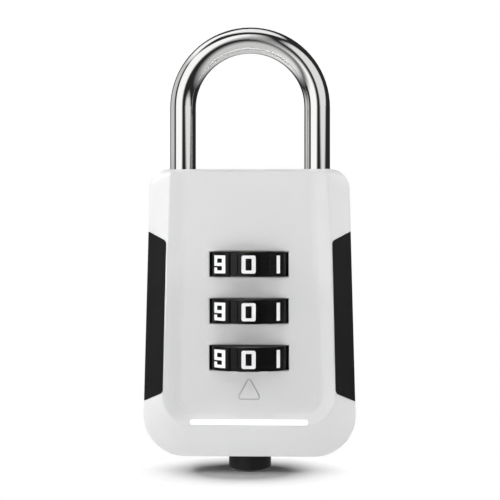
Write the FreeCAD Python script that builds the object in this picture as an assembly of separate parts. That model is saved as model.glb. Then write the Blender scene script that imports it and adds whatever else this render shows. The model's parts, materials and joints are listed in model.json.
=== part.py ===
import FreeCAD, Part
import math
import os

from FreeCAD import Vector

# Combination padlock with three number wheels, in millimetres.
# +Z is up, +X to the right seen from the front, and the front faces -Y.
# The origin is where the padlock hangs: the inside of the shackle's crown, above the spindle's axis.

# Shackle: a round bar with a long leg, the heel, on the right and a short leg, the toe, on the left
shackle_diameter = 5.0
leg_exposed = 12.4
toe_inserted = 4.2
toe_turned_down = 0.2
toe_step_drop = 0.15
leg_clearance = 0.1
leg_bore_wall = 0.55

# Number wheels, which turn about the spindle's axis
wheel_radius = 9.4
wheel_thickness = 4.5
wheel_pitch = 8.85
wheel_clearance = 0.35
wheel_leg_gap = 1.2
digits_per_wheel = 10
flute_width = 2.0
flute_floor_width = 1.3
flute_depth = 0.45

# Code sleeves inside the wheels: a cup with a gated web at its top and a flange under the wheel.
# Outside they have one side for each digit, so a wheel can be set on its sleeve at any digit.
sleeve_half_across = 3.9
sleeve_wall = 0.8
sleeve_fit = 0.1
sleeve_end_clearance = 0.1
sleeve_overhang = 0.6
sleeve_flange_reach = 0.3
web_thickness = 1.6
gate_clearance = 0.15

# Spindle, lifted with the shackle, with one fin for each wheel
spindle_radius = 1.7
spindle_fit = 0.1
spindle_engaged = 3.55
spindle_headroom = 1.05
fin_width = 1.2
fin_gap = 0.3
fin_height = 2.4
fin_below_web = 0.4
tenon_half = 0.95
tenon_fit = 0.05
tenon_head_half = 1.4
tenon_head_height = 0.4

# Housing, seen from the front: a rounded shield, a little wider at the bottom
front_depth = 7.0
side_wall = 2.6
bottom_flare = 1.45
top_corner_radius = 3.9
bottom_corner_radius = 8.0
shoulder_depth = 2.3
back_edge_chamfer = 1.7
back_wall = 1.25
end_wall = 1.6
shell_wall = 1.2
parting_margin = 0.3
lip_height = 1.4
lip_thickness = 0.7
lip_clearance = 0.08

# Front panel, sunk between a crest at each side and one at the bottom
band_width_top = 4.05
band_width_bottom = 3.85
crest_top_drop = 0.8
crest_bottom_rise = 6.0
crest_top_corner = 0.6
crest_bottom_corner = 5.8
crest_land = 0.25
recess_depth = 1.2
recess_wall_width = 3.2
# Steps of the panel's side: shares of the wall's width, each with the share of the depth reached there
recess_steps = ((-0.08, -0.1), (0.25, 0.22), (0.7, 0.84), (1.0, 1.0))
recess_runout = 16.0
front_wall = 1.2

# Windows that the wheels stand out through
window_gap = 0.13
window_side_gap = 0.17
window_bevel = 0.15

# Pointer below the windows and the bright strip below it
pointer_gap = 1.55
pointer_height = 3.9
pointer_width = 4.2
pointer_round = 0.35
pointer_raise = 0.06
pointer_groove_width = 0.16
pointer_groove_depth = 0.2
strip_inset = 5.4
strip_height = 1.1
strip_rise = 0.87
strip_end_flat = 0.02
strip_set_back = 0.2
strip_depth = 0.6
strip_proud = 0.15
strip_fit = 0.05

# Side grips, let into the sloping bands and the side walls
grip_thickness = 1.1
grip_fit = 0.05
grip_width_top = 3.3
grip_width_bottom = 4.1
grip_inner_top_drop = 13.75
grip_outer_top_drop = 12.05
grip_inner_bottom_rise = 12.4
grip_outer_bottom_rise = 10.4
grip_corner = 0.9
grip_tab_half = 1.0
grip_tab_length = 1.2
grip_tab_shares = (0.25, 0.75)

# Lock frame: a block that guides the shackle, and shelves that carry the sleeves
frame_clearance = 0.1
frame_headroom = 0.5
bottom_shelf_thickness = 1.4
shelf_gap = 1.5
column_gap = 0.6
frame_screw_radius = 1.0
frame_screw_head_radius = 1.8
frame_screw_head_height = 1.2
frame_screw_slot_width = 0.5
frame_screw_slot_depth = 0.5
screw_fit = 0.1
boss_half = 2.0
boss_height = 3.4

# Spring strip whose fingers click into the flutes of the wheels
spring_metal = 0.3
finger_height = 3.0
finger_reach = 2.2
finger_gap = 1.0
nose_base_half = 0.9
nose_tip_half = 0.3
click_clearance = 0.1
click_base_inset = 0.65
click_base_margin = 1.2
stake_half = 0.6
stake_head_half = 1.0
stake_head_height = 0.5
stake_fit = 0.05

# Lift bridge that ties the shackle's heel to the spindle, and the clip that holds the heel in it
bridge_thickness = 1.4
bridge_front_gap = 1.1
bridge_end_flat = 0.07
bridge_clearance = 0.2
heel_stub_radius = 1.7
heel_stub_fit = 0.05
heel_stub_end = 0.9
clip_thickness = 0.5
clip_fit = 0.03
clip_half = 2.4
clip_mouth = 1.4

# Push button with a coil spring in its cup
button_margin = 0.6
button_fit = 0.1
button_proud = 3.1
button_travel = 1.6
button_flange_reach = 1.1
button_flange_thickness = 0.7
button_flange_gap = 0.55
button_floor = 1.2
button_wall = 1.1
button_edge_chamfer = 0.3
spring_cup_gap = 0.2
spring_wire_radius = 0.25
wire_sides = 6
spring_turns = 4.5
spring_steps_per_turn = 8
spring_seat_gap = 0.05

# Places that follow from the sizes above
shackle_radius = shackle_diameter / 2
leg_x = wheel_radius + wheel_leg_gap + shackle_radius
leg_bore_radius = shackle_radius + leg_clearance
housing_top = -(leg_exposed + leg_x - shackle_radius)
bow_centre = housing_top + leg_exposed
frame_half = leg_x + leg_bore_radius + leg_bore_wall
cavity_half = frame_half + frame_clearance
cavity_top = housing_top - end_wall
top_half_width = cavity_half + side_wall
bottom_half_width = top_half_width + bottom_flare
crest_half_top = top_half_width - band_width_top
crest_half_bottom = bottom_half_width - band_width_bottom

# The shackle lifts by one wheel pitch, so each fin moves from under its own web to under the next one up
lift_travel = wheel_pitch
block_top = cavity_top - frame_clearance
block_bottom = block_top - (spindle_engaged + lift_travel + spindle_headroom)
sleeve_bore_radius = sleeve_half_across - sleeve_wall
fin_reach = sleeve_bore_radius - fin_gap
sleeve_half = wheel_thickness / 2 + sleeve_overhang
shelf_offset = sleeve_half + sleeve_end_clearance
wheel_names = ("top", "middle", "bottom")
wheel_levels = [block_bottom - shelf_offset - wheel_pitch * n for n in range(len(wheel_names))]
bottom_shelf_top = wheel_levels[-1] - shelf_offset
frame_bottom = bottom_shelf_top - bottom_shelf_thickness
bridge_top = frame_bottom - lift_travel - bridge_clearance
bridge_bottom = bridge_top - bridge_thickness
button_top = bridge_bottom - bridge_clearance - button_travel
cavity_bottom = button_top - button_flange_thickness
housing_bottom = cavity_bottom - end_wall
housing_height = housing_top - housing_bottom
button_bottom = housing_bottom - button_proud

# Depths, from the front to the back
front_y = -front_depth
shoulder_y = front_y + shoulder_depth
cavity_front = front_y + recess_depth + front_wall
button_radius = -shoulder_y - button_margin
button_cup_radius = button_radius - button_wall
button_flange_radius = button_radius + button_flange_reach
button_flange_front = -cavity_front - button_flange_gap
spring_radius = button_cup_radius - spring_cup_gap - spring_wire_radius
parting_y = button_flange_radius + parting_margin
cavity_back = wheel_radius + wheel_clearance
back_y = cavity_back + back_wall
frame_front = cavity_front + frame_clearance
frame_back = cavity_back - frame_clearance
column_front = leg_bore_radius + column_gap
column_inner = wheel_radius + column_gap
shelf_half_width = leg_x - leg_bore_radius - shelf_gap
bridge_half_width = -cavity_front - bridge_front_gap

# Spring strip's base on the left column
click_base_right = -(wheel_radius + finger_gap)
click_base_left = -(frame_half - click_base_inset)

# Depth that stands in front of the housing, for tools that cut from the front
outside = front_y - front_wall
# Reach of a tool past the face that it cuts through
past = 1.0


def corner_points(points, radii):
    # For each corner: where its arc starts, passes and ends, or the corner itself three times
    found = []
    count = len(points)
    for n in range(count):
        before = points[n - 1]
        corner = points[n]
        after = points[(n + 1) % count]
        radius = radii[n]
        back = (before - corner).normalize()
        ahead = (after - corner).normalize()
        half = back.getAngle(ahead) / 2
        reach = radius / math.tan(half)
        middle = (back + ahead).normalize()
        found.append((
            corner + back * reach,
            corner + middle * (radius / math.sin(half) - radius),
            corner + ahead * reach,
        ))
    return found


def rounded_wire(points, radii):
    # Closed outline through the points, with each corner rounded by its own radius
    arcs = corner_points(points, radii)
    edges = []
    for n, (start, middle, end) in enumerate(arcs):
        if radii[n] > 0:
            edges.append(Part.Arc(start, middle, end).toShape())
        following = arcs[(n + 1) % len(arcs)][0]
        if end.distanceToPoint(following) > 1e-6:
            edges.append(Part.makeLine(end, following))
    return Part.Wire(edges)


def prism(points, radii, along):
    # Solid with a rounded outline, pulled along a vector
    return Part.Face(rounded_wire(points, radii)).extrude(along)


def box_between(low, high):
    # Box given by its lowest and highest corners
    return Part.makeBox(high[0] - low[0], high[1] - low[1], high[2] - low[2], Vector(*low))


def upright(radius, low, high, x=0.0, y=0.0):
    # Vertical cylinder between two levels
    return Part.makeCylinder(radius, high - low, Vector(x, y, low), Vector(0, 0, 1))


def level_rod(radius, start, end, x, z):
    # Cylinder from front to back between two depths
    return Part.makeCylinder(radius, end - start, Vector(x, start, z), Vector(0, 1, 0))


def all_fused(shapes):
    # One solid from several that meet or overlap
    return shapes[0].multiFuse(shapes[1:]).removeSplitter()


def solid_of(shape):
    # The single solid inside the result of a cut or a fuse
    return shape.Solids[0]


def upright_polygon(sides, half_across, low, high):
    # Vertical prism with equal sides, given half the distance across them
    reach = half_across / math.cos(math.pi / sides)
    corners = []
    for n in range(sides):
        angle = 2 * math.pi * (n + 0.5) / sides
        corners.append(Vector(reach * math.cos(angle), reach * math.sin(angle), low))
    return prism(corners, [0.0] * sides, Vector(0, 0, high - low))


def outline(y, top_half, bottom_half, top, bottom, top_radius, bottom_radius):
    # Shield outline at one depth: four straight sides and four rounded corners
    points = [
        Vector(-top_half, y, top),
        Vector(top_half, y, top),
        Vector(bottom_half, y, bottom),
        Vector(-bottom_half, y, bottom),
    ]
    return rounded_wire(points, [top_radius, top_radius, bottom_radius, bottom_radius])


def housing_form(inset=0.0):
    # Whole outside of the housing, or the same form with every face moved inwards by the inset
    band_angle = math.atan2(shoulder_depth, top_half_width - crest_half_top)
    crest_mitre = inset * math.tan(band_angle / 2)
    shoulder_mitre = inset * math.tan((math.pi / 2 - band_angle) / 2)
    shoulder = shoulder_y + shoulder_mitre
    rim = outline(
        shoulder,
        top_half_width - inset,
        bottom_half_width - inset,
        housing_top - inset,
        housing_bottom + inset,
        top_corner_radius - inset,
        bottom_corner_radius - inset,
    )
    crest = outline(
        front_y + inset,
        crest_half_top - crest_mitre,
        crest_half_bottom - crest_mitre,
        housing_top - crest_top_drop - inset,
        housing_bottom + crest_bottom_rise + crest_mitre,
        crest_top_corner,
        crest_bottom_corner - crest_mitre,
    )
    front = Part.makeLoft([rim, crest], True, True)
    walls = Part.Face(rim).extrude(Vector(0, back_y - inset - shoulder, 0))
    return solid_of(front.fuse(walls).removeSplitter())


def edges_at_depth(shape, y):
    # Edges that lie wholly at one depth
    found = []
    for edge in shape.Edges:
        box = edge.BoundBox
        if abs(box.YMin - y) < 1e-4 and abs(box.YMax - y) < 1e-4:
            found.append(edge)
    return found


def housing_outside():
    # The outside with its back edge chamfered
    form = housing_form()
    return form.makeChamfer(back_edge_chamfer, edges_at_depth(form, back_y))


def cavity():
    # Space for the works inside both covers
    room = box_between(
        (-cavity_half, cavity_front, cavity_bottom),
        (cavity_half, cavity_back, cavity_top),
    )
    return solid_of(housing_form(shell_wall).common(room))


def grown_cavity(extra):
    # The cavity's outline grown outwards, for the lip that joins the covers
    room = box_between(
        (-cavity_half - extra, parting_y - lip_height - extra, cavity_bottom - extra),
        (cavity_half + extra, parting_y + past, cavity_top + extra),
    )
    return solid_of(housing_form(shell_wall - extra).common(room))


def lip(extra):
    # Ring of the rear cover that stands inside the front cover, or its seat with the clearance added
    block = grown_cavity(lip_thickness + extra)
    reach = lip_height + extra
    slab = box_between(
        (-bottom_half_width, parting_y - reach, housing_bottom),
        (bottom_half_width, parting_y, housing_top),
    )
    return block.common(slab).cut(cavity())


def panel_half(z):
    # Half width between the side crests at a level
    share = (housing_top - z) / (housing_height - crest_bottom_rise)
    return crest_half_top + (crest_half_bottom - crest_half_top) * share


def recess_tool():
    # The panel's hollow: outlines on planes that fan out from a line above the top edge,
    # so its depth grows evenly from almost nothing at the top to its full value at the bottom
    hinge = housing_top + recess_runout
    length = hinge - (housing_bottom + crest_bottom_rise)
    top = housing_top + past
    sections = []
    for across, down in recess_steps:
        inset = crest_land + recess_wall_width * across
        bottom = housing_bottom + crest_bottom_rise + inset
        slope = recess_depth * down / length
        points = [
            Vector(-panel_half(top) + inset, front_y + slope * (hinge - top), top),
            Vector(panel_half(top) - inset, front_y + slope * (hinge - top), top),
            Vector(panel_half(bottom) - inset, front_y + slope * (hinge - bottom), bottom),
            Vector(-panel_half(bottom) + inset, front_y + slope * (hinge - bottom), bottom),
        ]
        corner = crest_bottom_corner - inset
        sections.append(rounded_wire(points, [0.0, 0.0, corner, corner]))
    return Part.makeLoft(sections, True, True)


def panel_y(z):
    # Depth of the sunk panel's floor at a level
    hinge = housing_top + recess_runout
    length = hinge - (housing_bottom + crest_bottom_rise)
    return front_y + recess_depth * (hinge - z) / length


def window_half():
    # Half width of the windows, set by the lowest one, where the panel is sunk most
    face = panel_y(wheel_levels[-1] - wheel_thickness / 2)
    return math.sqrt((wheel_radius + window_side_gap) ** 2 - face ** 2)


def window_outline(z, y, extra):
    # Outline of a window at one depth, grown all round
    half = window_half() + extra
    height = wheel_thickness / 2 + window_gap + extra
    points = [
        Vector(-half, y, z - height),
        Vector(half, y, z - height),
        Vector(half, y, z + height),
        Vector(-half, y, z + height),
    ]
    return rounded_wire(points, [0.0] * len(points))


def window_tools():
    # For each wheel, a square opening with a bevel at the panel's face, and round clearance behind it
    tools = []
    height = wheel_thickness / 2 + window_gap
    for z in wheel_levels:
        face = panel_y(z)
        opening = Part.Face(window_outline(z, face, 0.0))
        tools.append(opening.extrude(Vector(0, cavity_front + past - face, 0)))
        wide = window_outline(z, face - window_bevel, 2 * window_bevel)
        narrow = window_outline(z, face + window_bevel, 0.0)
        tools.append(Part.makeLoft([wide, narrow], True, True))
        tools.append(upright(wheel_radius + window_side_gap, z - height, z + height))
    return tools


def pointer_form(extra, front, back):
    # Triangle that points up at the digits to read, grown all round, between two depths
    tip = wheel_levels[-1] - wheel_thickness / 2 - pointer_gap
    base = tip - pointer_height
    # The sides slope, so growing them by the extra moves the tip and the lower corners further
    side_length = math.hypot(pointer_width / 2, pointer_height)
    tip_rise = extra * side_length / (pointer_width / 2)
    reach = pointer_width / 2 * (pointer_height + tip_rise + extra) / pointer_height
    points = [
        Vector(0, front, tip + tip_rise),
        Vector(reach, front, base - extra),
        Vector(-reach, front, base - extra),
    ]
    return prism(points, [pointer_round + extra] * len(points), Vector(0, back - front, 0))


def pointer_depths():
    # The panel's face at the pointer's tip and at its base
    tip = wheel_levels[-1] - wheel_thickness / 2 - pointer_gap
    return panel_y(tip), panel_y(tip - pointer_height)


def pointer():
    front, back = pointer_depths()
    return pointer_form(0.0, front - pointer_raise, back + pointer_groove_depth + front_wall / 2)


def pointer_groove():
    # Fine groove round the pointer
    front, back = pointer_depths()
    ring = pointer_form(pointer_groove_width, front - front_wall / 2, back + pointer_groove_depth)
    return ring.cut(pointer_form(0.0, front - front_wall, back + front_wall))


def strip_form(extra):
    # Bar with round ends across the foot of the panel
    half = crest_half_bottom - strip_inset + extra
    height = strip_height / 2 + extra
    z = housing_bottom + crest_bottom_rise + strip_rise
    points = [
        Vector(-half, front_y, z - height),
        Vector(half, front_y, z - height),
        Vector(half, front_y, z + height),
        Vector(-half, front_y, z + height),
    ]
    return points, [height - strip_end_flat / 2] * len(points)


def accent_strip():
    points, radii = strip_form(0.0)
    start = Vector(0, strip_set_back - strip_proud, 0)
    return prism([p + start for p in points], radii, Vector(0, strip_depth + strip_proud, 0))


def strip_seat():
    points, radii = strip_form(strip_fit)
    start = Vector(0, outside - front_y, 0)
    depth = strip_set_back + strip_depth + strip_fit - (outside - front_y)
    return prism([p + start for p in points], radii, Vector(0, depth, 0))


def grip_region(side, extra):
    # Block that marks out one grip, seen from the front; its outer edge lies past the side wall
    outer = bottom_half_width + past
    grip_inner_top = top_half_width - grip_width_top
    grip_inner_bottom = bottom_half_width - grip_width_bottom
    top = housing_top - grip_inner_top_drop
    bottom = housing_bottom + grip_inner_bottom_rise
    rise = grip_inner_top_drop - grip_outer_top_drop
    fall = grip_inner_bottom_rise - grip_outer_bottom_rise
    # The slanting ends are carried on past the side wall at the same slope
    top_run = (outer - grip_inner_top) / (top_half_width - grip_inner_top)
    bottom_run = (outer - grip_inner_bottom) / (bottom_half_width - grip_inner_bottom)
    points = [
        Vector(side * (grip_inner_top - extra), outside, top + extra),
        Vector(side * outer, outside, top + rise * top_run + extra),
        Vector(side * outer, outside, bottom - fall * bottom_run - extra),
        Vector(side * (grip_inner_bottom - extra), outside, bottom - extra),
    ]
    along = Vector(0, parting_y - grip_fit + extra - outside, 0)
    return prism(points, [grip_corner, 0.0, 0.0, grip_corner], along)


def grip_tabs(side, extra):
    # Two square tabs that hold a grip in the side wall, or their slots with the fit added
    tabs = []
    half = grip_tab_half + extra
    # The tabs start inside the grip, half its thickness in from the side wall's narrowest place
    start = top_half_width - grip_thickness / 2
    end = start - grip_thickness / 2 - grip_tab_length - extra
    top = housing_top - grip_inner_top_drop
    bottom = housing_bottom + grip_inner_bottom_rise
    for share in grip_tab_shares:
        z = top + (bottom - top) * share
        low, high = sorted((side * start, side * end))
        tabs.append(box_between((low, -half, z - half), (high, half, z + half)))
    return tabs


def grip(side, outer_form, inner_form):
    skin = outer_form.common(grip_region(side, 0.0)).cut(inner_form)
    return solid_of(all_fused([skin] + grip_tabs(side, 0.0)))


def screw_place(side):
    # Where a frame screw's axis passes: midway from the spindle's bore to the leg's, and up the block
    inner = spindle_radius + spindle_fit
    outer = leg_x - leg_bore_radius
    return side * (inner + outer) / 2, (block_top + block_bottom) / 2


def around_screw(side, half, start, end):
    # Square block about a frame screw's axis
    x, z = screw_place(side)
    return box_between((x - half, start, z - half), (x + half, end, z + half))


def front_cover(outer_form, inner_form, hollow):
    half = box_between(
        (-bottom_half_width - past, outside, housing_bottom - past),
        (bottom_half_width + past, parting_y, housing_top + past),
    )
    shell = outer_form.common(half).cut(recess_tool())
    shell = shell.cut(hollow)
    shell = shell.cut(lip(lip_clearance))
    bosses = []
    for side in (-1, 1):
        bosses.append(around_screw(
            side, boss_half, cavity_front - front_wall / 2, cavity_front + boss_height
        ))
    shell = all_fused([shell, pointer()] + bosses)
    tools = window_tools()
    for side in (-1, 1):
        tools.append(upright(
            leg_bore_radius, cavity_top - past, housing_top + past, side * leg_x
        ))
        tools.append(level_rod(
            frame_screw_radius,
            cavity_front - front_wall / 2,
            cavity_front + boss_height + past,
            *screw_place(side),
        ))
        tools.append(grip_region(side, grip_fit).cut(inner_form))
        tools.extend(grip_tabs(side, grip_fit))
    tools.append(upright(
        button_radius + button_fit, housing_bottom - past, cavity_bottom + past
    ))
    tools.append(strip_seat())
    tools.append(pointer_groove())
    for tool in tools:
        shell = shell.cut(tool)
    return solid_of(shell.removeSplitter())


def rear_cover(outer_form, hollow):
    half = box_between(
        (-bottom_half_width - past, parting_y, housing_bottom - past),
        (bottom_half_width + past, back_y + past, housing_top + past),
    )
    shell = outer_form.common(half).cut(hollow)
    return solid_of(all_fused([shell, lip(0.0)]))


def lock_frame():
    # The block's upper corners follow the covers' rounded corners
    corner = top_corner_radius - shell_wall
    points = [
        Vector(-frame_half, frame_front, block_top),
        Vector(frame_half, frame_front, block_top),
        Vector(frame_half, frame_front, block_bottom),
        Vector(-frame_half, frame_front, block_bottom),
    ]
    along = Vector(0, frame_back - frame_front, 0)
    parts = [prism(points, [corner, corner, 0.0, 0.0], along)]
    shelves = []
    for z, following in zip(wheel_levels, wheel_levels[1:]):
        shelves.append((following + shelf_offset, z - shelf_offset))
    shelves.append((frame_bottom, bottom_shelf_top))
    for low, high in shelves:
        parts.append(box_between(
            (-frame_half, column_front, low), (frame_half, frame_back, high)
        ))
        parts.append(box_between(
            (-shelf_half_width, frame_front, low), (shelf_half_width, column_front, high)
        ))
    for low, high in ((-frame_half, -column_inner), (column_inner, frame_half)):
        parts.append(box_between(
            (low, column_front, frame_bottom), (high, frame_back, block_bottom)
        ))
    for z in stake_levels():
        parts.append(stake(z))
        parts.append(stake_head(z))
    frame = all_fused(parts)
    # Way for the spindle: a close bore at the top, then a slot that keeps the fins from turning
    fin_room = web_bottom(wheel_levels[0]) - fin_below_web + lift_travel + frame_headroom
    spindle_room = spindle_radius + spindle_fit
    tools = [
        upright(spindle_room, fin_room - past, block_top + past),
        box_between(
            (-spindle_room, -spindle_room, frame_bottom - past),
            (spindle_room, fin_reach + gate_clearance, fin_room),
        ),
        upright(leg_bore_radius, block_bottom - past, block_top + past, leg_x),
        upright(
            leg_bore_radius, housing_top - toe_inserted - past, block_top + past, -leg_x
        ),
    ]
    for side in (-1, 1):
        seat = frame_back - frame_screw_head_height - screw_fit
        boss_end = cavity_front + boss_height + screw_fit
        tools.append(around_screw(side, boss_half + screw_fit, frame_front - past, boss_end))
        tools.append(level_rod(
            frame_screw_radius + screw_fit, boss_end - past, frame_back, *screw_place(side)
        ))
        tools.append(around_screw(
            side, frame_screw_head_radius + screw_fit, seat, frame_back + past
        ))
    for tool in tools:
        frame = frame.cut(tool)
    return solid_of(frame)


def frame_screw(side):
    x, z = screw_place(side)
    seat = frame_back - frame_screw_head_height - screw_fit
    shank = level_rod(frame_screw_radius, cavity_front - front_wall / 2, seat, x, z)
    head = level_rod(frame_screw_head_radius, seat, seat + frame_screw_head_height, x, z)
    slot_floor = seat + frame_screw_head_height - frame_screw_slot_depth
    slot = box_between(
        (x - frame_screw_head_radius, slot_floor, z - frame_screw_slot_width / 2),
        (x + frame_screw_head_radius, slot_floor + past, z + frame_screw_slot_width / 2),
    )
    return solid_of(shank.fuse(head).cut(slot).removeSplitter())


def flute(low, high):
    # Groove with sloping sides between two digits, cut through the wheel's rim at the front
    floor = -(wheel_radius - flute_depth)
    mouth = -(wheel_radius + flute_depth)
    mouth_half = flute_width - flute_floor_width / 2
    points = [
        Vector(-flute_floor_width / 2, floor, low),
        Vector(flute_floor_width / 2, floor, low),
        Vector(mouth_half, mouth, low),
        Vector(-mouth_half, mouth, low),
    ]
    return prism(points, [0.0] * len(points), Vector(0, 0, high - low))


def number_wheel(z):
    low = z - wheel_thickness / 2
    high = z + wheel_thickness / 2
    wheel = upright(wheel_radius, low, high)
    tools = [upright_polygon(
        digits_per_wheel, sleeve_half_across + sleeve_fit, low - past, high + past
    )]
    groove = flute(low - past, high + past)
    step = 360 / digits_per_wheel
    for n in range(digits_per_wheel):
        cut = groove.copy()
        cut.rotate(Vector(0, 0, 0), Vector(0, 0, 1), step * (n + 0.5))
        tools.append(cut)
    for tool in tools:
        wheel = wheel.cut(tool)
    return solid_of(wheel)


def web_bottom(z):
    # Underside of a sleeve's web, given the level of its wheel's middle
    return z + sleeve_half - web_thickness


def code_sleeve(z):
    half = sleeve_half
    flange_top = z - wheel_thickness / 2 - sleeve_fit
    flange_half = sleeve_half_across + sleeve_flange_reach
    sleeve = all_fused([
        upright_polygon(digits_per_wheel, sleeve_half_across, z - half, z + half),
        upright_polygon(digits_per_wheel, flange_half, z - half, flange_top),
    ])
    gate = box_between(
        (-fin_width / 2 - gate_clearance, 0, web_bottom(z)),
        (fin_width / 2 + gate_clearance, fin_reach + gate_clearance, z + half + past),
    )
    tools = [
        upright(sleeve_bore_radius, z - half - past, web_bottom(z)),
        upright(spindle_radius + spindle_fit, web_bottom(z), z + half + past),
        gate,
    ]
    for tool in tools:
        sleeve = sleeve.cut(tool)
    return solid_of(sleeve)


def click_spring():
    # Flat base on the left column, with a finger bent forward for each wheel
    finger_left = click_base_right - spring_metal
    base_top = wheel_levels[0] + finger_height / 2 + click_base_margin
    base_bottom = wheel_levels[-1] - finger_height / 2 - click_base_margin
    parts = [box_between(
        (click_base_left, column_front - spring_metal, base_bottom),
        (click_base_right, column_front, base_top),
    )]
    nose_tip = -(wheel_radius - flute_depth + click_clearance)
    for z in wheel_levels:
        low = z - finger_height / 2
        high = z + finger_height / 2
        parts.append(box_between(
            (finger_left, -finger_reach, low), (click_base_right, column_front, high)
        ))
        # Tapered nose that drops into the flute
        nose = [
            Vector(click_base_right, -nose_base_half, low),
            Vector(nose_tip, -nose_tip_half, low),
            Vector(nose_tip, nose_tip_half, low),
            Vector(click_base_right, nose_base_half, low),
        ]
        parts.append(prism(nose, [0.0] * len(nose), Vector(0, 0, high - low)))
    spring = all_fused(parts)
    for z in stake_levels():
        spring = spring.cut(stake(z, stake_fit))
    return solid_of(spring)


def stake(z, extra=0.0):
    # Square stake of the frame's left column through the spring's base, or its hole with the fit added
    x = (click_base_left + click_base_right) / 2
    half = stake_half + extra
    return box_between(
        (x - half, column_front - spring_metal - stake_head_height / 2, z - half),
        (x + half, column_front + stake_head_height, z + half),
    )


def stake_head(z):
    # The stake's end, spread over the spring's base
    x = (click_base_left + click_base_right) / 2
    back = column_front - spring_metal
    return box_between(
        (x - stake_head_half, back - stake_head_height, z - stake_head_half),
        (x + stake_head_half, back, z + stake_head_half),
    )


def stake_levels():
    # Between the first and second fingers, and between the last two
    return [(a + b) / 2 for a, b in zip(wheel_levels, wheel_levels[1:])]


def shackle():
    # Heel, bow and toe as one bar along a path, then the ends turned down
    toe_end = housing_top - toe_inserted
    stub_end = bridge_bottom - clip_thickness - heel_stub_end
    heel = upright(shackle_radius, bridge_top, bow_centre, leg_x)
    stub = upright(heel_stub_radius, stub_end, bridge_top, leg_x)
    bow = Part.makeTorus(
        leg_x, shackle_radius, Vector(0, 0, bow_centre), Vector(0, 1, 0), -180, 180, 360
    )
    above = box_between(
        (-leg_x - shackle_diameter, -shackle_diameter, bow_centre),
        (leg_x + shackle_diameter, shackle_diameter, bow_centre + leg_x + shackle_diameter),
    )
    toe_step = housing_top - toe_step_drop
    toe = upright(shackle_radius, toe_step, bow_centre, -leg_x)
    toe_tip = upright(shackle_radius - toe_turned_down, toe_end, toe_step, -leg_x)
    return solid_of(all_fused([bow.common(above), heel, stub, toe, toe_tip]))


def square_bar(half, low, high):
    # Upright square bar about the spindle's axis
    return box_between((-half, -half, low), (half, half, high))


def spindle():
    parts = [
        upright(spindle_radius, bridge_top, block_bottom + spindle_engaged),
        square_bar(tenon_half, bridge_bottom, bridge_top),
        square_bar(tenon_head_half, bridge_bottom - tenon_head_height, bridge_bottom),
    ]
    for z in wheel_levels:
        fin_top = web_bottom(z) - fin_below_web
        parts.append(box_between(
            (-fin_width / 2, 0, fin_top - fin_height), (fin_width / 2, fin_reach, fin_top)
        ))
    return solid_of(all_fused(parts))


def lift_bridge():
    half = bridge_half_width
    low = bridge_bottom
    points = [
        Vector(-half, -half, low),
        Vector(frame_half, -half, low),
        Vector(frame_half, half, low),
        Vector(-half, half, low),
    ]
    # Round about the spindle and square at the heel
    end_round = half - bridge_end_flat
    plate = prism(points, [end_round, 0.0, 0.0, end_round], Vector(0, 0, bridge_thickness))
    plate = plate.cut(square_bar(tenon_half + tenon_fit, low - past, bridge_top + past))
    plate = plate.cut(upright(heel_stub_radius + heel_stub_fit, low - past, bridge_top + past, leg_x))
    return solid_of(plate)


def heel_clip():
    # Square push-on clip round the heel's end, open towards the lock's middle
    low = bridge_bottom - clip_thickness
    plate = box_between(
        (leg_x - clip_half, -clip_half, low), (leg_x + clip_half, clip_half, bridge_bottom)
    )
    hole = upright(heel_stub_radius + clip_fit, low - past, bridge_bottom + past, leg_x)
    mouth = box_between(
        (leg_x - clip_half - past, -clip_mouth / 2, low - past),
        (leg_x, clip_mouth / 2, bridge_bottom + past),
    )
    return solid_of(plate.cut(hole).cut(mouth))


def push_button():
    body = upright(button_radius, button_bottom, button_top)
    foot = [e for e in body.Edges if abs(e.BoundBox.ZMax - button_bottom) < 1e-6]
    body = body.makeChamfer(button_edge_chamfer, foot)
    # The flange keeps the button in; it is cut flat at the front, where the housing slopes
    flange = upright(button_flange_radius, cavity_bottom, button_top).common(box_between(
        (-button_flange_radius, -button_flange_front, cavity_bottom),
        (button_flange_radius, button_flange_radius, button_top),
    ))
    cup = upright(button_cup_radius, button_bottom + button_floor, button_top + past)
    return solid_of(body.fuse(flange).cut(cup).removeSplitter())


def button_spring():
    # Coil between the cup's floor and the bridge, with a wire of flat sides
    low = button_bottom + button_floor + spring_wire_radius + spring_seat_gap
    high = bridge_bottom - spring_wire_radius - spring_seat_gap
    steps = round(spring_turns * spring_steps_per_turn)
    sections = []
    for n in range(steps + 1):
        turn = 2 * math.pi / spring_steps_per_turn * n
        level = low + (high - low) * n / steps
        corners = []
        for side in range(wire_sides):
            around = 2 * math.pi / wire_sides * side
            reach = spring_radius + spring_wire_radius * math.cos(around)
            corners.append(Vector(
                reach * math.cos(turn),
                reach * math.sin(turn),
                level + spring_wire_radius * math.sin(around),
            ))
        sections.append(rounded_wire(corners, [0.0] * wire_sides))
    return solid_of(Part.makeLoft(sections, True, True))


def write(name, shape):
    shape.exportStep(os.path.join("parts", name + ".step"))
    print(name, "solids", len(shape.Solids), "valid", shape.isValid(), "mm3", round(shape.Volume, 1))


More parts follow.
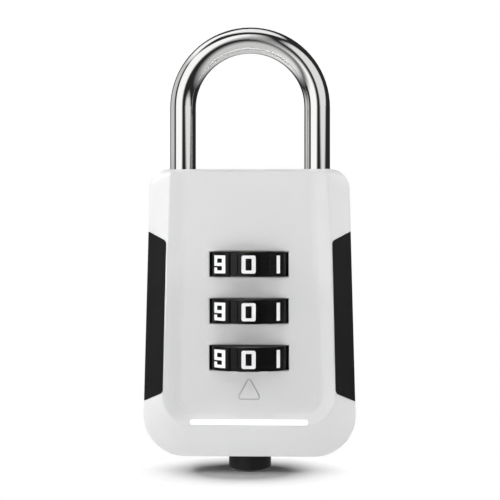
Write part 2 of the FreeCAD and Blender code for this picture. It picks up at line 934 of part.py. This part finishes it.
def main():
    os.makedirs("parts", exist_ok=True)
    outer_form = housing_outside()
    inner_form = housing_form(grip_thickness)
    hollow = cavity()
    write("front_cover", front_cover(outer_form, inner_form, hollow))
    write("rear_cover", rear_cover(outer_form, hollow))
    write("left_grip", grip(-1, outer_form, inner_form))
    write("right_grip", grip(1, outer_form, inner_form))
    write("accent_strip", accent_strip())
    write("lock_frame", lock_frame())
    write("frame_screw_left", frame_screw(-1))
    write("frame_screw_right", frame_screw(1))
    for name, z in zip(wheel_names, wheel_levels):
        write("number_wheel_" + name, number_wheel(z))
        write("code_sleeve_" + name, code_sleeve(z))
    write("wheel_click_spring", click_spring())
    write("shackle", shackle())
    write("spindle", spindle())
    write("lift_bridge", lift_bridge())
    write("heel_clip", heel_clip())
    write("push_button", push_button())
    write("button_spring", button_spring())


main()
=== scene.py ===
import json
import math

import bmesh
import bpy
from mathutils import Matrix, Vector


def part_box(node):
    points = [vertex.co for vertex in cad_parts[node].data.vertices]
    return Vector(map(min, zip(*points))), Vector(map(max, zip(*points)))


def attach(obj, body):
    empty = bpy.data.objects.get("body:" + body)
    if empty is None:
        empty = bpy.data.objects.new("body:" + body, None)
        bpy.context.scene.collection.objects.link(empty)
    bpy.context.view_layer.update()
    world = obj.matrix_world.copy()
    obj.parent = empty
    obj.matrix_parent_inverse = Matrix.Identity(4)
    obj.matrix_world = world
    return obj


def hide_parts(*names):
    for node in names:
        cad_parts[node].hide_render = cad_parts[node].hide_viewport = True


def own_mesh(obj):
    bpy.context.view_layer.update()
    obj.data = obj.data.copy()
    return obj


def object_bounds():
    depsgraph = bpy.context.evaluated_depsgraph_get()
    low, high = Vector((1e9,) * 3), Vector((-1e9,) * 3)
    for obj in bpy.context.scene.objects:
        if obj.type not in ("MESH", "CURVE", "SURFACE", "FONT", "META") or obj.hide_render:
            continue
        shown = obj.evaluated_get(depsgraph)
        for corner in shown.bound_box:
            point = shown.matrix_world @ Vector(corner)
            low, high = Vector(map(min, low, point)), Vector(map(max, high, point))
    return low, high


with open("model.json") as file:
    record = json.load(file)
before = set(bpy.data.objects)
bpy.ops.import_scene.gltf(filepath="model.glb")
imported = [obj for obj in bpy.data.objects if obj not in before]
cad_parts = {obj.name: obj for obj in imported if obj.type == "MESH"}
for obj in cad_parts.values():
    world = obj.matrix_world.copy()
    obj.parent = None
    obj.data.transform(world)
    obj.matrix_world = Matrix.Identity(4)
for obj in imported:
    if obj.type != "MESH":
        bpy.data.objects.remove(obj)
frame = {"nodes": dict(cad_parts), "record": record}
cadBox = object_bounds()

mm = 0.001  # the frame is in metres


# shader maths

class Link:
    # one output socket; + - * / and ** on it add Math nodes
    def __init__(self, tree, socket):
        self.tree = tree
        self.socket = socket

    def math(self, operation, *values, **settings):
        inputs = dict(enumerate(values))
        return addNode(self.tree, "ShaderNodeMath", {"operation": operation, **settings}, inputs)[0]

    def __add__(self, other):
        return self.math("ADD", self, other)

    def __sub__(self, other):
        return self.math("SUBTRACT", self, other)

    def __rsub__(self, other):
        return self.math("SUBTRACT", other, self)

    def __mul__(self, other):
        return self.math("MULTIPLY", self, other)

    def __truediv__(self, other):
        return self.math("DIVIDE", self, other)

    def __pow__(self, other):
        return self.math("POWER", self, other)

    __radd__ = __add__
    __rmul__ = __mul__

    def clamped(self):
        return self.math("ADD", self, 0.0, use_clamp=True)


class Outputs:
    # a node's outputs, by name or number, as Links
    def __init__(self, tree, node):
        self.tree = tree
        self.node = node

    def __getitem__(self, key):
        return Link(self.tree, self.node.outputs[key])


def addNode(tree, kind, settings=None, values=None):
    # settings are set first, then each input gets a plain value or a link
    node = tree.nodes.new(kind)
    for name, value in (settings or {}).items():
        setattr(node, name, value)
    for key, value in (values or {}).items():
        if isinstance(value, Link):
            tree.links.new(value.socket, node.inputs[key])
        else:
            node.inputs[key].default_value = value
    return Outputs(tree, node)


def blendColour(tree, share, first, second):
    # first where share is 0, second where it is 1
    values = {"Factor": share, 6: first, 7: second}
    return addNode(tree, "ShaderNodeMix", {"data_type": "RGBA"}, values)[2]


def colour(level, tint=(1.0, 1.0, 1.0)):
    return tuple(level * t for t in tint) + (1.0,)


class Finish:
    # a material and its nodes; surface() ends it with a Principled shader
    def __init__(self, name):
        self.material = bpy.data.materials.new(name)
        self.material.use_nodes = True
        self.tree = self.material.node_tree
        self.tree.nodes.clear()

    def node(self, kind, settings=None, values=None):
        return addNode(self.tree, kind, settings, values)

    def place(self):
        return self.node("ShaderNodeTexCoord")["Object"]

    def stretched(self, scale):
        # the piece's own coordinates, scaled along each axis
        return self.node("ShaderNodeMapping", {}, {"Vector": self.place(), "Scale": scale})[0]

    def noise(self, size, detail=2.0, vector=None):
        # cloudy pattern with features of about the given size in metres
        values = {"Scale": 1.0 / size, "Detail": detail, "Vector": vector or self.place()}
        return self.node("ShaderNodeTexNoise", {}, values)[0]

    def relief(self, height, depth, normal=None):
        values = {"Height": height, "Strength": 1.0, "Distance": depth}
        if normal is not None:
            values["Normal"] = normal
        return self.node("ShaderNodeBump", {}, values)[0]

    def softEdge(self, radius):
        return self.node("ShaderNodeBevel", {"samples": 6}, {"Radius": radius})[0]

    def blend(self, share, first, second):
        return blendColour(self.tree, share, first, second)

    def output(self, shader):
        self.node("ShaderNodeOutputMaterial", {}, {"Surface": shader})
        return self.material

    def surface(self, values):
        return self.output(self.node("ShaderNodeBsdfPrincipled", {}, values)[0])

    def glow(self, level=1.0):
        return self.node("ShaderNodeEmission", {}, {"Color": colour(level), "Strength": 1.0})[0]

    def mixed(self, share, first, second):
        # a whole material: first where share is 0, second where it is 1
        return self.output(self.node("ShaderNodeMixShader", {}, {0: share, 1: first, 2: second})[0])


# finishes

paint = {
    "level": 0.80, "tint": (1.0, 1.0, 1.004), "cloud": 12 * mm, "cloudLevel": 0.012,
    "roughness": 0.38, "grainRoughness": 0.08, "edge": 0.25 * mm,
    "grain": 0.18 * mm, "grainDepth": 0.0012 * mm, "peel": 1.6 * mm, "peelDepth": 0.004 * mm,
    "coat": 0.25, "coatRoughness": 0.25,
}


def silverPaint():
    f = Finish("silverPaint")
    cloud = f.noise(paint["cloud"])
    grain = f.noise(paint["grain"], detail=3.0)
    peel = f.noise(paint["peel"], detail=1.0)
    darker = colour(paint["level"] - paint["cloudLevel"], paint["tint"])
    lighter = colour(paint["level"] + paint["cloudLevel"], paint["tint"])
    swing = paint["grainRoughness"]
    normal = f.relief(peel, paint["peelDepth"], f.softEdge(paint["edge"]))
    return f.surface({
        "Base Color": f.blend(cloud, darker, lighter),
        "Roughness": grain * swing + (paint["roughness"] - swing / 2),
        "Normal": f.relief(grain, paint["grainDepth"], normal),
        "Coat Weight": paint["coat"], "Coat Roughness": paint["coatRoughness"],
    })


blackPlastic = {
    "grips": {"level": 0.007, "roughness": 0.40, "specular": 0.42, "edge": 0.2 * mm,
              "grain": 0.28 * mm, "grainDepth": 0.012 * mm},
    "wheels": {"level": 0.003, "roughness": 0.25, "specular": 0.42, "edge": 0.12 * mm,
               "grain": 0.2 * mm, "grainDepth": 0.001 * mm},
    "button": {"level": 0.004, "roughness": 0.36, "specular": 0.5, "edge": 0.2 * mm,
               "grain": 0.22 * mm, "grainDepth": 0.004 * mm},
}
moulding = {"cloud": 4 * mm, "cloudLevel": 0.15, "cloudRoughness": 0.08, "grainRoughness": 0.06}


def mouldedBlack(name):
    look = blackPlastic[name]
    f = Finish(name + "Black")
    cloud = f.noise(moulding["cloud"])
    grain = f.noise(look["grain"])
    darker = colour(look["level"] * (1 - moulding["cloudLevel"]))
    lighter = colour(look["level"] * (1 + moulding["cloudLevel"]))
    least = look["roughness"] - (moulding["cloudRoughness"] + moulding["grainRoughness"]) / 2
    rough = cloud * moulding["cloudRoughness"] + grain * moulding["grainRoughness"] + least
    return f.surface({
        "Base Color": f.blend(cloud, darker, lighter), "Roughness": rough,
        "Normal": f.relief(grain, look["grainDepth"], f.softEdge(look["edge"])),
        "Specular IOR Level": look["specular"],
    })


# streak scales the grain along each axis, for turned or rolled stock
metals = {
    "castZinc": {"level": 0.55, "tint": (0.98, 1.0, 1.02), "roughness": 0.5, "depth": 0.01 * mm},
    "platedSteel": {"level": 0.6, "tint": (1.0, 1.0, 0.98), "roughness": 0.3},
    "springSteel": {"level": 0.62, "roughness": 0.25, "streak": (900, 900, 60), "depth": 0.001 * mm},
    "turnedBrass": {"level": 0.8, "tint": (1.0, 0.82, 0.45), "roughness": 0.28,
                    "streak": (60, 60, 4000), "depth": 0.002 * mm},
    "turnedSteel": {"level": 0.6, "roughness": 0.3, "streak": (60, 60, 4000), "depth": 0.002 * mm},
}
metalGrain = {"size": 0.6 * mm, "cloud": 5 * mm, "darker": 0.96, "lighter": 1.03, "lightest": 0.98,
              "share": 0.5, "edge": 0.1 * mm}


def metal(name):
    # bare or plated metal
    look = metals[name]
    level = look["level"]
    roughness = look["roughness"]
    tint = look.get("tint", (1.0, 1.0, 1.0))
    f = Finish(name)
    if "streak" in look:
        grain = f.noise(1.0, detail=3.0, vector=f.stretched(look["streak"]))
    else:
        grain = f.noise(metalGrain["size"], detail=3.0)
    darker = colour(level * metalGrain["darker"], tint)
    lighter = colour(min(level * metalGrain["lighter"], metalGrain["lightest"]), tint)
    share = metalGrain["share"]
    return f.surface({
        "Base Color": f.blend(f.noise(metalGrain["cloud"]), darker, lighter), "Metallic": 1.0,
        "Normal": f.relief(grain, look.get("depth", 0.0), f.softEdge(metalGrain["edge"])),
        "Roughness": grain * (roughness * share) + roughness * (1 - share / 2),
    })


plating = {
    "level": 0.94, "tint": (1.0, 0.998, 0.99), "roughness": 0.035,
    "haze": 1.2 * mm, "hazeRoughness": 0.03, "wave": 6 * mm, "waveDepth": 0.001 * mm,
}


def chrome():
    # polished plate: a trace of haze and a very faint wave
    f = Finish("polishedChrome")
    haze = f.noise(plating["haze"], detail=4.0)
    wave = f.noise(plating["wave"], detail=1.0)
    return f.surface({
        "Base Color": colour(plating["level"], plating["tint"]), "Metallic": 1.0,
        "Roughness": haze * plating["hazeRoughness"] + plating["roughness"],
        "Normal": f.relief(wave, plating["waveDepth"]),
    })


# glow is painted light: an emission that lifts a very bright white that the studio's plain light
# leaves grey
enamels = {
    "whiteEnamel": {"level": 0.95, "roughness": 0.22, "edge": 0.1 * mm, "glow": 0.3},
    "numberPaint": {"level": 0.86, "roughness": 0.3, "edge": 0.03 * mm, "glow": 0.1},
}
speckle = {"size": 0.25 * mm, "depth": 0.001 * mm, "darker": 0.97, "roughness": 0.08}


def enamel(name):
    look = enamels[name]
    f = Finish(name)
    speck = f.noise(speckle["size"])
    darker = colour(look["level"] * speckle["darker"])
    return f.surface({
        "Base Color": f.blend(speck, darker, colour(look["level"])),
        "Roughness": speck * speckle["roughness"] + look["roughness"],
        "Normal": f.relief(speck, speckle["depth"], f.softEdge(look["edge"])),
        # painted light: the emission makes the white strip and the numbers glow though they are no
        # lamps
        "Emission Color": colour(1.0), "Emission Strength": look["glow"],
    })


finishes = {
    "silver_paint": silverPaint(),
    "grip_black": mouldedBlack("grips"),
    "wheel_black": mouldedBlack("wheels"),
    "button_black": mouldedBlack("button"),
    "white_enamel": enamel("whiteEnamel"),
    "cast_zinc": metal("castZinc"),
    "screw_steel": metal("platedSteel"),
    "spring_steel": metal("springSteel"),
    "sleeve_brass": metal("turnedBrass"),
    "shackle_chrome": chrome(),
    "spindle_steel": metal("turnedSteel"),
}
slotOf = {row["node"]: row["material_slot"] for row in frame["record"]["subparts"]}
for name, node in frame["nodes"].items():
    finish = finishes[slotOf[name]]
    if not node.material_slots:
        node.data.materials.append(finish)
    for materialSlot in node.material_slots:
        materialSlot.material = finish
print("finishes on", len(slotOf), "nodes")


def addObject(name, data):
    made = bpy.data.objects.new(name, data)
    bpy.context.scene.collection.objects.link(made)
    return made


# numbers on the wheels, in mm

numbers = {
    "count": 10, "width": 2.66, "height": 3.38, "oneWidth": 0.78,
    "upright": 0.76, "level": 0.58, "hook": 0.30,  # bars, and a short hook's reach past its bar
    "corner": 0.38, "cornerSteps": 5,  # the zero's rounded corners
    "cut": 0.12, "cutKept": 0.6,  # every other corner, cut off a little
    "proud": 0.006, "slices": 10,
}


def plate(x0, z0, x1, z1, rounded=""):
    # rectangle as a ring of points; rounded names its corners a b c d from the lower left
    r = numbers["corner"]
    steps = numbers["cornerSteps"]
    corners = {"a": (x0, z0, 180), "b": (x1, z0, 270), "c": (x1, z1, 0), "d": (x0, z1, 90)}
    ring = []
    for key, (x, z, start) in corners.items():
        if key not in rounded:
            ring.append((x, z))
            continue
        cx = x + r if x == x0 else x - r
        cz = z + r if z == z0 else z - r
        for n in range(steps + 1):
            angle = math.radians(start + 90 * n / steps)
            ring.append((cx + r * math.cos(angle), cz + r * math.sin(angle)))
    return ring


def turned(rings):
    return [[(-x, -z) for x, z in ring] for ring in rings]


def mirrored(rings):
    return [[(-x, z) for x, z in reversed(ring)] for ring in rings]


def numberOutline(digit):
    # rings of points, squared as moulded type: the first is the outside, later ones are holes
    w = numbers["width"] / 2
    h = numbers["height"] / 2
    m = numbers["level"] / 2
    left = -w + numbers["upright"]  # inner sides of the bars
    right = w - numbers["upright"]
    foot = -h + numbers["level"]
    head = h - numbers["level"]
    hook = m + numbers["hook"]
    upperHole = plate(left, m, right, head)
    zero = [plate(-w, -h, w, h, "abcd"), plate(left, foot, right, head)]
    one = [plate(-numbers["oneWidth"] / 2, -h, numbers["oneWidth"] / 2, h)]
    two = [[(-w, -h), (w, -h), (w, foot), (left, foot), (left, -m), (w, -m), (w, h), (-w, h),
            (-w, hook), (left, hook), (left, head), (right, head), (right, m), (-w, m)]]
    three = [[(-w, -h), (w, -h), (w, h), (-w, h), (-w, hook), (left, hook), (left, head),
              (right, head), (right, m), (left, m), (left, -m), (right, -m), (right, foot),
              (left, foot), (left, -hook), (-w, -hook)]]
    four = [[(right, -h), (w, -h), (w, h), (right, h), (right, m), (left, m), (left, h), (-w, h),
             (-w, -m), (right, -m)]]
    seven = [[(right, -h), (w, -h), (w, h), (-w, h), (-w, hook), (left, hook), (left, head),
              (right, head)]]
    eight = [plate(-w, -h, w, h), plate(left, foot, right, -m), upperHole]
    nine = [[(-w, -h), (w, -h), (w, h), (-w, h), (-w, -m), (right, -m), (right, foot),
             (left, foot), (left, -hook), (-w, -hook)], upperHole]
    return [zero, one, two, three, four, mirrored(two), turned(nine), seven, eight, nine][digit]


def softened(ring):
    # cuts each sharp corner off a little, as moulded edges are, but not at the end of a short side
    reach = numbers["cut"]
    kept = numbers["cutKept"]
    made = []
    for n, corner in enumerate(ring):
        here = Vector(corner)
        before = Vector(ring[n - 1])
        after = Vector(ring[(n + 1) % len(ring)])
        if min((before - here).length, (after - here).length) < 3 * reach:
            made.append(corner)
            continue
        a = here + (before - here).normalized() * reach
        b = here + (after - here).normalized() * reach
        middle = (a + b) / 2 * (1 - kept) + here * kept
        made += [tuple(a), tuple(middle), tuple(b)]
    return made


def flatNumber(digit):
    # one number as a flat filled sheet, sliced upright so that it can bend
    curve = bpy.data.curves.new("ring", "CURVE")
    curve.dimensions = "2D"
    curve.fill_mode = "BOTH"
    for ring in numberOutline(digit):
        points = softened(ring)
        spline = curve.splines.new("POLY")
        spline.points.add(len(points) - 1)
        for point, (x, z) in zip(spline.points, points):
            point.co = (x, z, 0, 1)
        spline.use_cyclic_u = True
    holder = bpy.data.objects.new("ring", curve)
    flat = bpy.data.meshes.new_from_object(holder)
    bpy.data.objects.remove(holder)
    sheet = bmesh.new()
    sheet.from_mesh(flat)
    bpy.data.meshes.remove(flat)
    width = numbers["width"]
    for n in range(1, numbers["slices"]):
        x = -width / 2 + width * n / numbers["slices"]
        geometry = sheet.verts[:] + sheet.edges[:] + sheet.faces[:]
        bmesh.ops.bisect_plane(sheet, geom=geometry, plane_co=(x, 0, 0), plane_no=(1, 0, 0))
    return sheet


def numberMesh(wheel, radius, level):
    # all ten numbers of a wheel as one mesh, wrapped round its lands
    whole = bmesh.new()
    reach = radius + numbers["proud"]
    for digit in range(numbers["count"]):
        sheet = flatNumber(digit)
        for vertex in sheet.verts:
            angle = vertex.co.x / radius + math.radians(360 / numbers["count"] * digit)
            x = math.sin(angle) * reach
            y = -math.cos(angle) * reach
            vertex.co = Vector((x, y, level + vertex.co.y)) * mm
        piece = bpy.data.meshes.new("sheet")
        sheet.to_mesh(piece)
        sheet.free()
        whole.from_mesh(piece)
        bpy.data.meshes.remove(piece)
    for face in whole.faces:
        middle = face.calc_center_median()
        if face.normal.dot(Vector((middle.x, middle.y, 0))) < 0:
            face.normal_flip()
    mesh = bpy.data.meshes.new("numbers_" + wheel)
    whole.to_mesh(mesh)
    whole.free()
    return mesh


numberPaint = enamel("numberPaint")
for wheel in ("top", "middle", "bottom"):
    low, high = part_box("number_wheel_" + wheel)
    mesh = numberMesh(wheel, -low.y / mm, (low.z + high.z) / 2 / mm)
    mesh.materials.append(numberPaint)
    piece = addObject("numbers_" + wheel, mesh)
    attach(piece, "wheel_" + wheel)
print("numbers on three wheels")


# the button's spring

coil = {"node": "button_spring", "joint": "button_press"}


def pressedCoil():
    # the spring as it is, copied so that it moves with the button; it is not made shorter as the
    # button is pressed
    solid = frame["nodes"][coil["node"]]
    joints = {joint["name"]: joint for joint in frame["record"]["behaviour"]["joints"]}
    travel = joints[coil["joint"]]["range_m"][1]
    low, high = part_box(coil["node"])
    length = high.z - low.z
    piece = addObject("buttonCoil", solid.data.copy())
    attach(piece, "button")
    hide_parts(coil["node"])
    (length - travel) / length
    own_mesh(piece)


pressedCoil()
print("button's spring placed")


# stage

stage = {
    "floor": 0.93, "front": -2.0, "depth": 0.9, "width": 3.0, "height": 1.2,
    "sweep": 0.35, "sweepSteps": 12, "surround": 0.022,
    # the painted shadow's oval on the floor, a darker floor colour, and where it starts and ends as
    # shares of its half sizes
    "shadow": 0.36, "shadowHalf": (19.5 * mm, 12.5 * mm), "shadowAt": (-1.2 * mm, -3.8 * mm),
    "shadowFrom": 0.45, "shadowTo": 1.05,
}


def cameraShare(tree):
    # 1 for rays from the camera
    return addNode(tree, "ShaderNodeLightPath")["Is Camera Ray"]


def studioWhite():
    # white away from the object, with the lit floor, its cast shadow and a painted shadow (a darker
    # floor colour) in an oval close under it
    f = Finish("studioWhite")
    oval = f.node("ShaderNodeMapping", {"vector_type": "TEXTURE"}, {
        "Vector": f.place(), "Location": (*stage["shadowAt"], 0),
        "Scale": (*stage["shadowHalf"], 1),
    })[0]
    away = f.node("ShaderNodeVectorMath", {"operation": "LENGTH"}, {0: oval})["Value"]
    reach = stage["shadowTo"] - stage["shadowFrom"]
    rise = ((away - stage["shadowFrom"]) / reach).clamped()
    # only the camera sees the shadow deepened by the painted darker colour; light that bounces off
    # the floor stays plain
    pale = (rise + 1.0 - cameraShare(f.tree)).clamped()
    shade = f.blend(pale, colour(stage["shadow"]), colour(stage["floor"]))
    plain = f.node("ShaderNodeBsdfDiffuse", {}, {"Color": shade})[0]
    return f.mixed(cameraShare(f.tree) * rise, plain, f.glow())


def sweepFloor():
    # floor that curves up into a backdrop behind
    depth = stage["depth"]
    sweep = stage["sweep"]
    steps = stage["sweepSteps"]
    half = stage["width"] / 2
    profile = [(stage["front"], 0.0), (depth, 0.0)]
    for n in range(1, steps + 1):
        angle = math.pi / 2 * n / steps
        profile.append((depth + sweep * math.sin(angle), sweep * (1 - math.cos(angle))))
    profile.append((depth + sweep, stage["height"]))
    points = [(x, y, z) for y, z in profile for x in (-half, half)]
    faces = [(2 * n, 2 * n + 1, 2 * n + 3, 2 * n + 2) for n in range(len(profile) - 1)]
    mesh = bpy.data.meshes.new("sweepFloor")
    mesh.from_pydata(points, [], faces)
    mesh.materials.append(studioWhite())
    floor = addObject("sweepFloor", mesh)
    floor.location.z = cadBox[0].z
    floor.visible_glossy = False
    for face in mesh.polygons:
        face.use_smooth = True


# glowing cards round the object that only reflections see, nearest first, so that a soft edge
# shows the next one behind it; turn and rise are (from, to) in degrees, turn from the front
# towards the right; edges are the soft widths left, right, low and high, or one width for an
# oval card; lean moves the right side over as it rises
cards = {
    "whiteFront": {"turn": (-64, 0), "rise": (-15, 48), "level": 1.0,
                   "edges": (6, 12, 14, 7), "lean": 0.28},
    "greyRight": {"turn": (10, 93), "rise": (-4, 57), "level": 0.76, "edges": (7,)},
    "whiteLeft": {"turn": (-142, -62), "rise": (38, 92), "level": 1.0, "edges": (14, 8, 10, 8)},
    "greyLeft": {"turn": (-139, -74), "rise": (-9, 50), "level": 0.57, "edges": (10, 10, 14, 6)},
    "ceiling": {"turn": (-190, 190), "rise": (65, 115), "level": 0.88, "edges": (5, 5, 8, 8)},
    "floorLeft": {"turn": (-165, -30), "rise": (-66, -18), "level": 0.78,
                  "edges": (25, 30, 15, 14)},
    "floorBelow": {"turn": (-190, 190), "rise": (-118, -10), "level": 0.59,
                   "edges": (5, 5, 5, 24)},
}
cardPlace = {"reach": 1.0, "apart": 0.02, "steps": 24}


def cardMesh(name, reach, turn, rise, lean):
    # piece of a sphere about the object, with its own flat coordinates from 0 to 1
    steps = cardPlace["steps"]
    row = steps + 1
    points = []
    for i in range(row):
        for j in range(row):
            height = rise[0] + (rise[1] - rise[0]) * j / steps
            a = math.radians(turn[0] + (turn[1] + lean * height - turn[0]) * i / steps)
            e = math.radians(height)
            points.append((reach * math.sin(a) * math.cos(e),
                           -reach * math.cos(a) * math.cos(e), reach * math.sin(e)))
    faces = [(i * row + j, (i + 1) * row + j, (i + 1) * row + j + 1, i * row + j + 1)
             for i in range(steps) for j in range(steps)]
    mesh = bpy.data.meshes.new(name)
    mesh.from_pydata(points, [], faces)
    layer = mesh.uv_layers.new(name="card")
    for loop in mesh.loops:
        i, j = divmod(loop.vertex_index, row)
        layer.data[loop.index].uv = (i / steps, j / steps)
    return mesh


def cardGlow(name, wide, tall, level, edges):
    # plain glow that fades out towards the card's edges
    f = Finish(name)
    flat = f.node("ShaderNodeTexCoord")["UV"]
    across = f.node("ShaderNodeSeparateXYZ", {}, {"Vector": flat})
    x = across["X"]
    y = across["Y"]
    if len(edges) == 1:
        u = x * 2.0 - 1.0
        v = y * 2.0 - 1.0
        whole = ((1.0 - (u * u + v * v) ** 0.5) * (tall / 2 / edges[0])).clamped()
    else:
        left, right, low, high = edges
        whole = (x * (wide / left)).clamped() * ((1.0 - x) * (wide / right)).clamped()
        whole = whole * (y * (tall / low)).clamped() * ((1.0 - y) * (tall / high)).clamped()
    clear = f.node("ShaderNodeBsdfTransparent")[0]
    return f.mixed(whole, clear, f.glow(level))


def card(name, reach, turn, rise, level, edges, lean=0.0):
    mesh = cardMesh(name, reach, turn, rise, lean)
    mesh.materials.append(cardGlow(name, turn[1] - turn[0], rise[1] - rise[0], level, edges))
    made = addObject(name, mesh)
    made.visible_camera = False
    made.visible_diffuse = False
    made.visible_shadow = False
    made.visible_transmission = False


sweepFloor()
for number, (name, look) in enumerate(cards.items()):
    card(name, cardPlace["reach"] + cardPlace["apart"] * number, **look)

# lamps, all aimed at a point on the object's axis; only a lamp without a size is a spot
lamps = {
    "topMid": {"at": (-0.03, -0.10, 0.38), "size": (0.30, 0.20), "watts": 0.54},
    "highLeft": {"at": (-0.40, -0.06, 0.22), "size": (0.20, 0.10), "watts": 1.42},
    "highRight": {"at": (0.40, -0.06, 0.22), "size": (0.20, 0.10), "watts": 0.94},
    "frontHigh": {"at": (0.0, -0.30, 0.22), "size": (0.25, 0.10), "watts": 0.14},
    "backFill": {"at": (-0.10, 0.50, 0.16), "size": (0.40, 0.20), "watts": 0.9},
    "leftSpot": {"at": (-0.35, -0.45, 0.0), "watts": 2.64},
    "leftLow": {"at": (-0.40, -0.30, -0.06), "size": (0.25, 0.05), "watts": 0.28},
    "rightLow": {"at": (0.40, -0.30, -0.06), "size": (0.25, 0.05), "watts": 0.39},
}
areaAim = -0.045
spotCone = {"angle": 19.0, "blend": 1.0, "radius": 0.06, "aim": -0.022}


def addLamp(name, at, watts, size=None):
    if size is None:
        light = bpy.data.lights.new(name, "SPOT")
        light.spot_size = math.radians(spotCone["angle"])
        light.spot_blend = spotCone["blend"]
        light.shadow_soft_size = spotCone["radius"]
        aimAt = Vector((0, 0, spotCone["aim"]))
    else:
        light = bpy.data.lights.new(name, "AREA")
        light.shape = "RECTANGLE"
        light.size, light.size_y = size
        aimAt = Vector((0, 0, areaAim))
    light.energy = watts
    lamp = addObject(name, light)
    lamp.location = at
    lamp.rotation_euler = (aimAt - lamp.location).to_track_quat("-Z", "Y").to_euler()
    lamp.visible_glossy = False


for name, look in lamps.items():
    addLamp(name, **look)


def studioWorld():
    # white for the camera, dark round the cards for reflections
    world = bpy.data.worlds.new("studio")
    bpy.context.scene.world = world
    world.use_nodes = True
    tree = world.node_tree
    tree.nodes.clear()
    strength = cameraShare(tree) * (1.0 - stage["surround"]) + stage["surround"]
    values = {"Color": colour(1.0), "Strength": strength}
    sky = addNode(tree, "ShaderNodeBackground", {}, values)[0]
    addNode(tree, "ShaderNodeOutputWorld", {}, {"Surface": sky})


studioWorld()
print("stage and lamps set")


# camera; pixels is the focal length for a picture of that frame

lens = {"distance": 188.0, "level": -38.4, "turn": 1.6, "pixels": 962.6, "frame": 500.0,
        "sensor": 36.0, "near": 0.01, "far": 20.0}


def placeCamera():
    camera = bpy.data.cameras.new("camera")
    camera.sensor_width = lens["sensor"]
    camera.lens = lens["pixels"] / lens["frame"] * camera.sensor_width
    camera.clip_start = lens["near"]
    camera.clip_end = lens["far"]
    turn = math.radians(lens["turn"])
    x = lens["distance"] * math.sin(turn)
    y = -lens["distance"] * math.cos(turn)
    viewer = addObject("camera", camera)
    viewer.location = Vector((x, y, lens["level"])) * mm
    viewer.rotation_euler = (math.pi / 2, 0, turn)
    bpy.context.scene.camera = viewer


placeCamera()
bpy.context.scene.view_settings.view_transform = "Standard"
print("camera placed")
